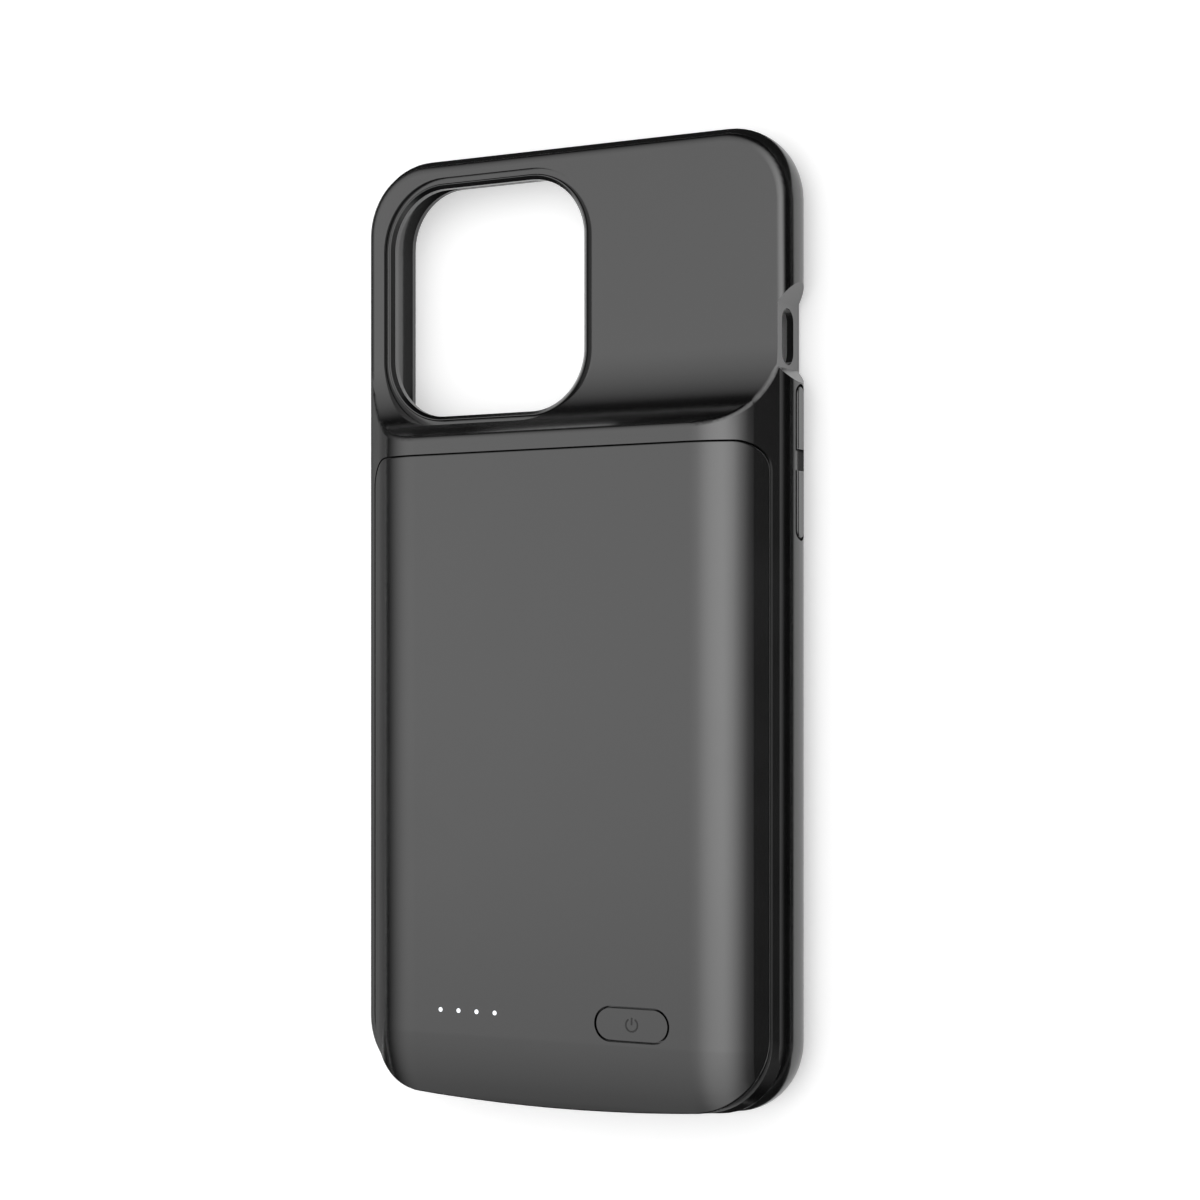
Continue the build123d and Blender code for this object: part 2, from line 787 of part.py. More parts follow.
with BuildPart() as battery_cell:
    with BuildSketch(Plane.XY.offset(cell_floor_z)):
        with Locations((0, (cell_top_y + cell_bottom_y) / 2)):
            RectangleRounded(2 * cell_half_width, cell_top_y - cell_bottom_y, cell_corner)
    extrude(amount=cell_thickness)
    chamfer(battery_cell.edges().group_by(Axis.Z)[-1], cell_edge)

with BuildPart() as foam_pad:
    with BuildSketch(Plane.XY.offset(cell_top_z)):
        with Locations((0, (foam_top_y + foam_bottom_y) / 2)):
            Rectangle(2 * foam_half_width, foam_top_y - foam_bottom_y)
    extrude(amount=cover_ceiling_z - cell_top_z)

with BuildPart() as protection_board:
    with BuildSketch(Plane.XY.offset(cell_floor_z)):
        with Locations((0, (protection_top_y + protection_bottom_y) / 2)):
            Rectangle(2 * protection_half_width, protection_top_y - protection_bottom_y)
    extrude(amount=protection_thickness)

with BuildPart() as cell_tabs:
    with BuildSketch(Plane.XY.offset(cell_floor_z + protection_thickness)):
        with Locations((0, cell_bottom_y - tab_reach / 2)):
            with GridLocations(2 * tab_x, 1, 2, 1):
                Rectangle(tab_width, tab_reach)
    extrude(amount=tab_thickness)


def lead_form(x):
    """A short insulated lead from the protection board over to the main board."""
    start_z = cell_floor_z + protection_thickness + lead_diameter / 2
    end_z = board_top_z + lead_diameter / 2
    step = (lead_start_y - lead_end_y) / 4
    with BuildPart() as lead:
        with BuildLine() as route:
            Polyline(
                (x, lead_start_y, start_z),
                (x, lead_start_y - step, start_z),
                (x, lead_start_y - 2 * step, end_z + lead_rise),
                (x, lead_end_y + step, end_z),
                (x, lead_end_y, end_z),
            )
        with BuildSketch(Plane(route.line @ 0, z_dir=route.line % 0)):
            Circle(lead_diameter / 2)
        sweep(path=route.line, transition=Transition.RIGHT)
    return lead.part


with BuildPart() as positive_lead:
    add(lead_form(lead_x))

with BuildPart() as negative_lead:
    add(lead_form(lead_x - lead_pitch))

# Output plug: a riser board in the chin, the blade into the pocket, its contacts and its base
with BuildPart() as plug_riser_board:
    with BuildSketch(Plane.XZ.offset(-riser_y)):
        with Locations((0, riser_bottom_z)):
            Rectangle(2 * riser_half_width, board_z - riser_bottom_z, align=(Align.CENTER, Align.MIN))
        with Locations((0, port_z)):
            Rectangle(port_width + 2 * port_gap, port_height + 2 * port_gap, mode=Mode.SUBTRACT)
    extrude(amount=-riser_thickness)

with BuildPart() as plug_contacts:
    with BuildSketch(Plane.XY.offset(plug_z + plug_blade_thickness / 2)):
        with Locations((0, pocket_bottom_y + plug_blade_length - contact_length / 2 - plug_blade_corner)):
            with GridLocations(contact_pitch, 1, contact_count, 1):
                Rectangle(contact_width, contact_length)
    extrude(amount=-contact_depth)
    mirror(about=Plane.XY.offset(plug_z))

with BuildPart() as plug_blade:
    with BuildSketch(Plane.XZ.offset(-(riser_y + riser_thickness))):
        with Locations((0, plug_z)):
            RectangleRounded(plug_blade_width, plug_blade_thickness, plug_blade_corner)
    extrude(amount=-(plug_blade_length + riser_front))
    with BuildSketch(Plane.XY):
        with Locations((0, pocket_bottom_y)):
            RectangleRounded(plug_blade_width, 2 * plug_blade_length, 2 * plug_blade_corner)
    extrude(amount=back_z, mode=Mode.INTERSECT)
    add(plug_contacts.part, mode=Mode.SUBTRACT)

with BuildPart() as plug_base:
    with BuildSketch(Plane.XY.offset(plug_slot_bottom_z + plug_fit)):
        with Locations((0, pocket_bottom_y)):
            Rectangle(
                2 * (plug_slot_half_width - plug_fit),
                plug_slot_depth - plug_fit,
                align=(Align.CENTER, Align.MAX),
            )
    extrude(amount=bay_floor_z - plug_slot_bottom_z - 2 * plug_fit)
    add(plug_riser_board.part, mode=Mode.SUBTRACT)
    add(plug_blade.part, mode=Mode.SUBTRACT)

# Input port: a drawn shell, closed at the back, with its tongue
with BuildPart() as input_port_shell:
    with BuildSketch(Plane.XZ.offset(-port_back_y)):
        with Locations((0, port_z)):
            SlotOverall(port_width, port_height)
    extrude(amount=port_length)
    with BuildSketch(Plane.XZ.offset(-(port_back_y - port_wall))):
        with Locations((0, port_z)):
            SlotOverall(port_width - 2 * port_wall, port_height - 2 * port_wall)
    extrude(amount=port_length, mode=Mode.SUBTRACT)

with BuildPart() as input_port_tongue:
    with BuildSketch(Plane.XZ.offset(-(port_back_y - port_wall))):
        with Locations((0, port_z)):
            Rectangle(port_tongue_width, port_tongue_thickness)
    extrude(amount=port_tongue_length)

# Keys
with BuildPart() as volume_up_key:
    add(key_form(*volume_up_span, square_end=-1))

with BuildPart() as volume_down_key:
    add(key_form(*volume_down_span, square_end=1))

with BuildPart() as side_key:
    add(key_form(*side_key_span).mirror(Plane.YZ))

nodes = {
    "frame_shell": frame_shell,
    "window_ring": window_ring,
    "back_cover": back_cover,
    "power_button": power_button,
    "switch_body": switch_body,
    "switch_stem": switch_stem,
    "light_guide": light_guide,
    "light_chips": light_chips,
    "main_board": main_board,
    "board_screws": board_screws,
    "controller_chip": controller_chip,
    "charge_chip": charge_chip,
    "power_inductor": power_inductor,
    "board_capacitors": board_capacitors,
    "battery_tape": battery_tape,
    "battery_cell": battery_cell,
    "foam_pad": foam_pad,
    "protection_board": protection_board,
    "cell_tabs": cell_tabs,
    "positive_lead": positive_lead,
    "negative_lead": negative_lead,
    "plug_riser_board": plug_riser_board,
    "plug_blade": plug_blade,
    "plug_contacts": plug_contacts,
    "plug_base": plug_base,
    "input_port_shell": input_port_shell,
    "input_port_tongue": input_port_tongue,
    "volume_up_key": volume_up_key,
    "volume_down_key": volume_down_key,
    "side_key": side_key,
}
os.makedirs("parts", exist_ok=True)
for name, node in nodes.items():
    node.part.label = name
    export_step(node.part, f"parts/{name}.step")
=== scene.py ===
"""Dresses the battery charging case: finishes, the sign on its button, and the studio."""

import math

import bmesh
import bpy
from bpy.props import FloatProperty, FloatVectorProperty, PointerProperty
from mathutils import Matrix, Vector


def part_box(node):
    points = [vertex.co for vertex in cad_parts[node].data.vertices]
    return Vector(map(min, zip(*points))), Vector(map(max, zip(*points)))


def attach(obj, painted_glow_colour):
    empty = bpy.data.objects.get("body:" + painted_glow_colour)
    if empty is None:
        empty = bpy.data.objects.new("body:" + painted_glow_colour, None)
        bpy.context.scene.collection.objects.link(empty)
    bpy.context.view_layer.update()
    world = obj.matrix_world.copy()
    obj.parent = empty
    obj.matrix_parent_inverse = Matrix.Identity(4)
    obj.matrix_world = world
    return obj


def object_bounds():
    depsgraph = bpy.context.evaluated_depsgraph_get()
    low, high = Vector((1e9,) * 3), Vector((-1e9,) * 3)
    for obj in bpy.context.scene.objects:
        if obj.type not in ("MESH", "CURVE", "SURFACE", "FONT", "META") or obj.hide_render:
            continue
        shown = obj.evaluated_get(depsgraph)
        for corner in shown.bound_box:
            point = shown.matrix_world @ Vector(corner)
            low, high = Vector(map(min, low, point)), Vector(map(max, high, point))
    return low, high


bl_info = {
    "name": "Battery Charging Case",
    "version": (1, 0, 0),
    "blender": (4, 5, 0),
    "location": "View3D > Sidebar > Case",
    "description": "Dresses a packed battery charging case and sets up its studio",
    "category": "Object",
}

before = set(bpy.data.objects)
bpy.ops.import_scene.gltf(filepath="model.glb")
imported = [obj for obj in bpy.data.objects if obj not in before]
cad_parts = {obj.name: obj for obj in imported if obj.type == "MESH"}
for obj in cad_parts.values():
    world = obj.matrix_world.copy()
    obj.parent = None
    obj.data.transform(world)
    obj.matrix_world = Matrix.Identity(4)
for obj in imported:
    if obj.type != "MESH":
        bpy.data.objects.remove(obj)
CAD_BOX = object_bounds()
MM = 0.001

# Indices of refraction, depth and size of the grain, and scale of the broad mottle in it
CASE_IOR = 1.95
GUIDE_IOR = 1.49
PRINT_IOR = 1.35
GRAIN_DEPTH = 0.02 * MM
METAL_GRAIN = 0.4 * MM
FOAM_GRAIN = 0.5 * MM
MOTTLE_SCALE = 45.0

# Sign, and the painted glow of the charge lights
RING_STEPS = 48
SIGN_ROUGHNESS = 0.75
GUIDE_ROUGHNESS = 0.25
LIGHT_COUNT = 4
LIGHT_STRENGTH = 0.9
SPOT_CORE = 0.6
RIM_LEVEL = 0.08

# Plug and port: node, material, colour of the metals, and roughness
PLUG_METALS = (
    ("plug_blade", "Blade Metal", (0.62, 0.62, 0.63), 0.28),
    ("plug_contacts", "Contact Gold", (0.83, 0.61, 0.24), 0.2),
    ("input_port_shell", "Port Steel", (0.58, 0.58, 0.59), 0.3),
)
PLUG_PLASTICS = (
    ("plug_base", "Plug Plastic", 0.45),
    ("input_port_tongue", "Tongue Plastic", 0.4),
)

# Inside the case: nodes, material, colour and roughness
INSIDE_PLASTICS = (
    (("main_board", "protection_board", "plug_riser_board"), "Board Lacquer", (0.012, 0.07, 0.035), 0.3),
    (("controller_chip", "charge_chip", "switch_body"), "Chip Resin", (0.02, 0.02, 0.02), 0.55),
    (("power_inductor",), "Ferrite", (0.06, 0.06, 0.065), 0.7),
    (("board_capacitors",), "Ceramic", (0.36, 0.24, 0.13), 0.45),
    (("light_chips",), "Light Chip", (0.8, 0.76, 0.5), 0.3),
    (("switch_stem",), "Switch Stem", (0.6, 0.57, 0.5), 0.4),
    (("battery_tape",), "Tape", (0.7, 0.7, 0.66), 0.6),
    (("positive_lead",), "Red Lead", (0.4, 0.02, 0.02), 0.4),
    (("negative_lead",), "Black Lead", (0.012, 0.012, 0.012), 0.4),
)
INSIDE_METALS = (
    ("board_screws", "Screw Steel", (0.5, 0.5, 0.51), 0.3),
    ("cell_tabs", "Nickel", (0.6, 0.58, 0.53), 0.3),
    ("battery_cell", "Cell Foil", (0.62, 0.62, 0.64), 0.4),
)
FOAM_COLOUR = (0.03, 0.03, 0.03)
FOAM_ROUGHNESS = 0.9

# Floor: its size, place and paper, and the two distances between which its glow rises to white
FLOOR_HALF_SIZE = 3.0
FLOOR_CELLS = 8
FLOOR_DROP = 0.2 * MM
FLOOR_ROUGHNESS = 0.9
FLOOR_TONES = (0.86, 0.9)
FLOOR_GRAIN = 300.0
GLOW_SPAN = (0.3, 1.8)

# Painted shade under the case and painted light under its window, in the floor's glow: corner, start and end
# of the fade
CASE_SHADE = (13.0 * MM, -4.5 * MM, -3.5 * MM)
WINDOW_LIGHT = (12.0 * MM, 2.0 * MM, 10.0 * MM)

# Sheets for painted dark reflections, room and camera
BLACK_LEVEL = 0.015
GREY_LEVEL = 0.3
SHEET_MOTTLE = 0.1
ROOM_LEVEL = 0.01
SENSOR_WIDTH = 36.0
CLIP_START = 0.01


class CaseFinish(bpy.types.PropertyGroup):
    """Colours and grain of the case."""

    plastic: FloatVectorProperty(
        name="Plastic",
        description="Colour of the frame, the ring, the cover and the button",
        subtype="COLOR",
        default=(0.0025, 0.0025, 0.0026),
    )
    key_plastic: FloatVectorProperty(
        name="Keys",
        description="Colour of the side keys and of the plastic in the plug and the port",
        subtype="COLOR",
        default=(0.0025, 0.0025, 0.0026),
    )
    roughness: FloatProperty(
        name="Roughness", description="Roughness of the satin plastic", default=0.19, min=0.0, max=1.0
    )
    grain: FloatProperty(
        name="Grain", description="Size of the moulded grain", unit="LENGTH", default=0.12 * MM
    )
    sign: FloatVectorProperty(
        name="Sign",
        description="Colour of the sign on the button",
        subtype="COLOR",
        default=(0.045, 0.045, 0.045),
    )
    light: FloatVectorProperty(
        name="Lights",
        description="Colour of the charge lights",
        subtype="COLOR",
        default=(0.9, 0.93, 0.97),
    )
    spot: FloatProperty(
        name="Spot",
        description="Radius of the bright spot in a charge light",
        unit="LENGTH",
        default=0.48 * MM,
    )


class CaseSign(bpy.types.PropertyGroup):
    """Sizes of the power sign on the button."""

    radius: FloatProperty(
        name="Radius", description="Radius of the ring", unit="LENGTH", default=1.12 * MM
    )
    stroke: FloatProperty(
        name="Stroke", description="Width of the lines", unit="LENGTH", default=0.31 * MM
    )
    gap: FloatProperty(
        name="Gap", description="Opening of the ring", subtype="ANGLE", default=math.radians(64)
    )
    bar: FloatProperty(
        name="Bar", description="Length of the bar", unit="LENGTH", default=1.3 * MM
    )
    depth: FloatProperty(
        name="Depth", description="Thickness of the print", unit="LENGTH", default=0.02 * MM
    )


class CaseStudio(bpy.types.PropertyGroup):
    """Camera, lamps, floor and sheets."""

    turn: FloatProperty(
        name="Turn", description="Turn of the view about Y", subtype="ANGLE", default=math.radians(28.8)
    )
    distance: FloatProperty(
        name="Distance", description="Camera to the case", unit="LENGTH", default=0.4797
    )
    eye: FloatProperty(
        name="Eye", description="Level of the eye along the case", unit="LENGTH", default=-0.0125
    )
    aside: FloatProperty(
        name="Aside", description="Camera beside the middle", unit="LENGTH", default=0.00074
    )
    lens: FloatProperty(name="Lens", description="Focal length in millimetres", default=80.5)
    shift: FloatProperty(name="Shift", description="Vertical shift of the picture", default=0.081)
    top_power: FloatProperty(name="Top box", description="Radiance of the top softbox", default=1.04)
    left_power: FloatProperty(name="Left box", description="Radiance of the left softbox", default=0.53)
    top_angles: FloatVectorProperty(
        name="Top angles",
        description="Edges of the top softbox from upright, in degrees",
        size=2,
        default=(-25.0, 62.0),
    )
    left_angles: FloatVectorProperty(
        name="Left angles",
        description="Edges of the left softbox from upright, in degrees",
        size=2,
        default=(-88.0, 12.0),
    )
    top_fades: FloatVectorProperty(
        name="Top fades",
        description="Shares of the top softbox that fade at its edges",
        size=2,
        default=(0.42, 0.52),
    )
    left_fades: FloatVectorProperty(
        name="Left fades",
        description="Shares of the left softbox that fade at its edges",
        size=2,
        default=(0.45, 0.4),
    )
    box_distance: FloatProperty(
        name="Boxes", description="Softboxes to the case", unit="LENGTH", default=1.3
    )
    box_length: FloatProperty(
        name="Length", description="Length of the softboxes", unit="LENGTH", default=4.4
    )
    box_spread: FloatProperty(
        name="Spread",
        description="Angle to which the softboxes shine",
        subtype="ANGLE",
        default=math.radians(125),
    )
    end_level: FloatProperty(
        name="End level", description="Level of the softboxes beyond the port end", default=0.78
    )
    end_span: FloatVectorProperty(
        name="End span",
        description="Where the softboxes fade over the port end, along the case",
        size=2,
        unit="LENGTH",
        default=(-0.32, -0.06),
    )
    sheet_reach: FloatProperty(
        name="Sheets", description="Reach of the dark sheets", unit="LENGTH", default=0.5
    )
    sheet_gap: FloatProperty(
        name="End gap", description="Case to the dark sheets at its ends", unit="LENGTH", default=0.002
    )
    side_gap: FloatProperty(
        name="Side gap", description="Case to the dark sheet beside it", unit="LENGTH", default=0.028
    )
    floor_glow: FloatProperty(
        name="Floor glow", description="Light added to the lit floor as seen", default=0.4
    )


# Node helpers


def linked(tree, node_type, **values):
    """A new node with its settings."""
    node = tree.nodes.new(node_type)
    for name, value in values.items():
        setattr(node, name, value)
    return node


def put(tree, target, value):
    """Links an output to an input, or sets a plain value on it."""
    if isinstance(value, bpy.types.NodeSocket):
        tree.links.new(value, target)
    else:
        target.default_value = value


def number(tree, operation, *values, clamp=False):
    """What a Math node makes of sockets and plain numbers."""
    node = linked(tree, "ShaderNodeMath", operation=operation, use_clamp=clamp)
    for target, value in zip(node.inputs, values):
        put(tree, target, value)
    return node.outputs[0]


def vector(tree, operation, *values):
    """A Vector Math node on sockets and plain vectors."""
    node = linked(tree, "ShaderNodeVectorMath", operation=operation)
    for target, value in zip(node.inputs, values):
        put(tree, target, value)
    return node


def length(tree, value):
    """The length of a vector."""
    return vector(tree, "LENGTH", value).outputs["Value"]


def scaled(tree, value, factor):
    """A colour or vector times a number."""
    node = vector(tree, "SCALE", value)
    put(tree, node.inputs["Scale"], factor)
    return node.outputs["Vector"]


def ramp(tree, value, span, levels, interpolation="LINEAR"):
    """Takes a value from one span to another, held at both ends."""
    node = linked(tree, "ShaderNodeMapRange", interpolation_type=interpolation)
    put(tree, node.inputs["Value"], value)
    node.inputs["From Min"].default_value, node.inputs["From Max"].default_value = span
    node.inputs["To Min"].default_value, node.inputs["To Max"].default_value = levels
    return node.outputs["Result"]


def noise(tree, place=None, **settings):
    """A noise texture, over the given coordinates or the piece's own box."""
    node = linked(tree, "ShaderNodeTexNoise")
    if place is not None:
        put(tree, node.inputs["Vector"], place)
    for name, value in settings.items():
        put(tree, node.inputs[name.title()], value)
    return node.outputs["Fac"]


def object_place(tree):
    """Coordinates of the piece itself."""
    return linked(tree, "ShaderNodeTexCoord").outputs["Object"]


# Materials


def grain_group():
    """Shader group: fine moulded grain, with a height, a roughness and a tint that vary."""
    name = "Moulded Grain"
    if name in bpy.data.node_groups:
        return bpy.data.node_groups[name]
    tree = bpy.data.node_groups.new(name, "ShaderNodeTree")
    for socket, kind, default in (
        ("Size", "NodeSocketFloat", 0.12 * MM),
        ("Roughness", "NodeSocketFloat", 0.4),
        ("Spread", "NodeSocketFloat", 0.05),
        ("Colour", "NodeSocketColor", (0.02, 0.02, 0.02, 1.0)),
    ):
        made = tree.interface.new_socket(socket, in_out="INPUT", socket_type=kind)
        made.default_value = default
    for socket, kind in (
        ("Height", "NodeSocketFloat"),
        ("Roughness", "NodeSocketFloat"),
        ("Colour", "NodeSocketColor"),
    ):
        tree.interface.new_socket(socket, in_out="OUTPUT", socket_type=kind)
    given = linked(tree, "NodeGroupInput").outputs
    out = linked(tree, "NodeGroupOutput").inputs
    place = object_place(tree)
    fine = noise(tree, place, scale=number(tree, "DIVIDE", 1.0, given["Size"]), detail=2.0)
    broad = noise(tree, place, scale=MOTTLE_SCALE, detail=5.0, roughness=0.6)
    swing = ramp(tree, broad, (0.3, 0.7), (-1.0, 1.0))
    tint = ramp(tree, fine, (0.0, 1.0), (0.9, 1.1))
    put(tree, out["Height"], fine)
    put(tree, out["Roughness"], number(tree, "MULTIPLY_ADD", swing, given["Spread"], given["Roughness"]))
    put(tree, out["Colour"], scaled(tree, given["Colour"], tint))
    return tree


def material(name):
    """An empty node material with its shader and output."""
    made = bpy.data.materials.new(name)
    made.use_nodes = True
    tree = made.node_tree
    tree.nodes.clear()
    shader = linked(tree, "ShaderNodeBsdfPrincipled")
    out = linked(tree, "ShaderNodeOutputMaterial")
    tree.links.new(shader.outputs["BSDF"], out.inputs["Surface"])
    return made, tree, shader


def moulded_plastic(name, colour, roughness, size, spread=0.03, bump=0.12, ior=CASE_IOR):
    """Satin moulded plastic with a fine grain."""
    made, tree, shader = material(name)
    grain = linked(tree, "ShaderNodeGroup", name="Grain", node_tree=grain_group())
    grain.inputs["Size"].default_value = size
    grain.inputs["Roughness"].default_value = roughness
    grain.inputs["Spread"].default_value = spread
    grain.inputs["Colour"].default_value = (*colour, 1.0)
    relief = linked(tree, "ShaderNodeBump")
    relief.inputs["Strength"].default_value = bump
    relief.inputs["Distance"].default_value = GRAIN_DEPTH
    put(tree, relief.inputs["Height"], grain.outputs["Height"])
    put(tree, shader.inputs["Normal"], relief.outputs["Normal"])
    put(tree, shader.inputs["Base Color"], grain.outputs["Colour"])
    put(tree, shader.inputs["Roughness"], grain.outputs["Roughness"])
    shader.inputs["IOR"].default_value = ior
    return made


def metal(name, colour, roughness):
    """Satin metal with a fine grain."""
    made = moulded_plastic(name, colour, roughness, METAL_GRAIN, spread=0.06, bump=0.1)
    made.node_tree.nodes["Principled BSDF"].inputs["Metallic"].default_value = 1.0
    return made


def finish(node, made):
    """Gives a node of the frame its material."""
    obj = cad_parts[node]
    obj.data.materials.clear()
    obj.data.materials.append(made)


# Pieces


class CASE_OT_shell(bpy.types.Operator):
    """Finish the frame shell, the window ring and the cover"""

    bl_idname = "case.shell"
    bl_label = "Shell and cover"

    def execute(self, context):
        look = context.scene.case_finish
        for node, name in (
            ("frame_shell", "Frame Plastic"),
            ("back_cover", "Cover Plastic"),
            ("window_ring", "Ring Plastic"),
        ):
            finish(node, moulded_plastic(name, look.plastic, look.roughness, look.grain))
        return {"FINISHED"}


class CASE_OT_keys(bpy.types.Operator):
    """Finish the keys in the side walls"""

    bl_idname = "case.keys"
    bl_label = "Keys"

    def execute(self, context):
        look = context.scene.case_finish
        made = moulded_plastic("Key Plastic", look.key_plastic, look.roughness, look.grain)
        for node in ("volume_up_key", "volume_down_key", "side_key"):
            finish(node, made)
        return {"FINISHED"}


class CASE_OT_button(bpy.types.Operator):
    """Finish the power button and print its sign"""

    bl_idname = "case.button"
    bl_label = "Power button"

    def execute(self, context):
        look = context.scene.case_finish
        finish("power_button", moulded_plastic("Button Plastic", look.plastic, look.roughness, look.grain))
        self.sign(context.scene.case_sign, look)
        return {"FINISHED"}

    def sign(self, size, look):
        """An open ring and a bar, as a thin print on the button."""
        low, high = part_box("power_button")
        centre = Vector(((low.x + high.x) / 2, (low.y + high.y) / 2, high.z))
        half = size.stroke / 2
        inner = size.radius - half
        outer = size.radius + half
        start = math.pi / 2 + size.gap / 2
        sweep = 2 * math.pi - size.gap
        mesh = bmesh.new()
        rows = []
        for step in range(RING_STEPS + 1):
            angle = start + sweep * step / RING_STEPS
            way = Vector((math.cos(angle), math.sin(angle), 0))
            rows.append((mesh.verts.new(way * inner), mesh.verts.new(way * outer)))
        for first, second in zip(rows, rows[1:]):
            mesh.faces.new((first[0], first[1], second[1], second[0]))
        foot = outer - size.bar
        corners = ((-half, foot), (half, foot), (half, outer), (-half, outer))
        mesh.faces.new([mesh.verts.new((x, y, 0)) for x, y in corners])
        bmesh.ops.recalc_face_normals(mesh, faces=mesh.faces)
        made = bpy.data.meshes.new("power_sign")
        mesh.to_mesh(made)
        mesh.free()
        piece = bpy.data.objects.new("power_sign", made)
        bpy.context.scene.collection.objects.link(piece)
        piece.location = centre
        thick = piece.modifiers.new("Print", "SOLIDIFY")
        thick.thickness = size.depth
        thick.offset = 1.0
        ink = moulded_plastic("Sign Print", look.sign, SIGN_ROUGHNESS, look.grain, ior=PRINT_IOR)
        made.materials.append(ink)
        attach(piece, "button")


class CASE_OT_lights(bpy.types.Operator):
    """Finish the light guide behind the charge lights"""

    bl_idname = "case.lights"
    bl_label = "Charge lights"

    def execute(self, context):
        # Finish the light guide behind the charge lights and paint their glow on it
        look = context.scene.case_finish
        made = moulded_plastic("Light Guide", look.light, GUIDE_ROUGHNESS, look.grain, ior=GUIDE_IOR)
        self.paint_glow_spots(made.node_tree, look)
        finish("light_guide", made)
        return {"FINISHED"}

    def paint_glow_spots(self, tree, look):
        """Painted light: a glowing spot in the middle of each tip, in both the base and the emission colour,
        darker at the rim.
        """
        low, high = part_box("light_guide")
        pitch = (high.x - low.x) / LIGHT_COUNT
        split = linked(tree, "ShaderNodeSeparateXYZ")
        put(tree, split.inputs[0], object_place(tree))
        steps = number(tree, "MULTIPLY_ADD", split.outputs["X"], 1.0 / pitch, -low.x / pitch)
        across = number(tree, "MULTIPLY_ADD", number(tree, "FRACT", steps), pitch, -pitch / 2)
        along = number(tree, "SUBTRACT", split.outputs["Y"], (low.y + high.y) / 2)
        offset = linked(tree, "ShaderNodeCombineXYZ")
        put(tree, offset.inputs["X"], across)
        put(tree, offset.inputs["Y"], along)
        span = (SPOT_CORE * look.spot, look.spot)
        painted_glow = ramp(tree, length(tree, offset.outputs[0]), span, (1.0, RIM_LEVEL), "SMOOTHSTEP")
        painted_glow_colour = scaled(tree, tree.nodes["Grain"].outputs["Colour"], painted_glow)
        shader = tree.nodes["Principled BSDF"]
        put(tree, shader.inputs["Base Color"], painted_glow_colour)
        put(tree, shader.inputs["Emission Color"], painted_glow_colour)
        shader.inputs["Emission Strength"].default_value = LIGHT_STRENGTH


class CASE_OT_plug_and_port(bpy.types.Operator):
    """Finish the output plug and the input port"""

    bl_idname = "case.plug_and_port"
    bl_label = "Plug and port"

    def execute(self, context):
        look = context.scene.case_finish
        for node, name, colour, roughness in PLUG_METALS:
            finish(node, metal(name, colour, roughness))
        for node, name, roughness in PLUG_PLASTICS:
            finish(node, moulded_plastic(name, look.key_plastic, roughness, look.grain))
        return {"FINISHED"}


class CASE_OT_inside(bpy.types.Operator):
    """Finish the boards, their components and the battery"""

    bl_idname = "case.inside"
    bl_label = "Boards and battery"

    def execute(self, context):
        look = context.scene.case_finish
        for nodes, name, colour, roughness in INSIDE_PLASTICS:
            made = moulded_plastic(name, colour, roughness, look.grain)
            for node in nodes:
                finish(node, made)
        for node, name, colour, roughness in INSIDE_METALS:
            finish(node, metal(name, colour, roughness))
        finish("foam_pad", moulded_plastic("Foam", FOAM_COLOUR, FOAM_ROUGHNESS, FOAM_GRAIN))
        return {"FINISHED"}


# Stage


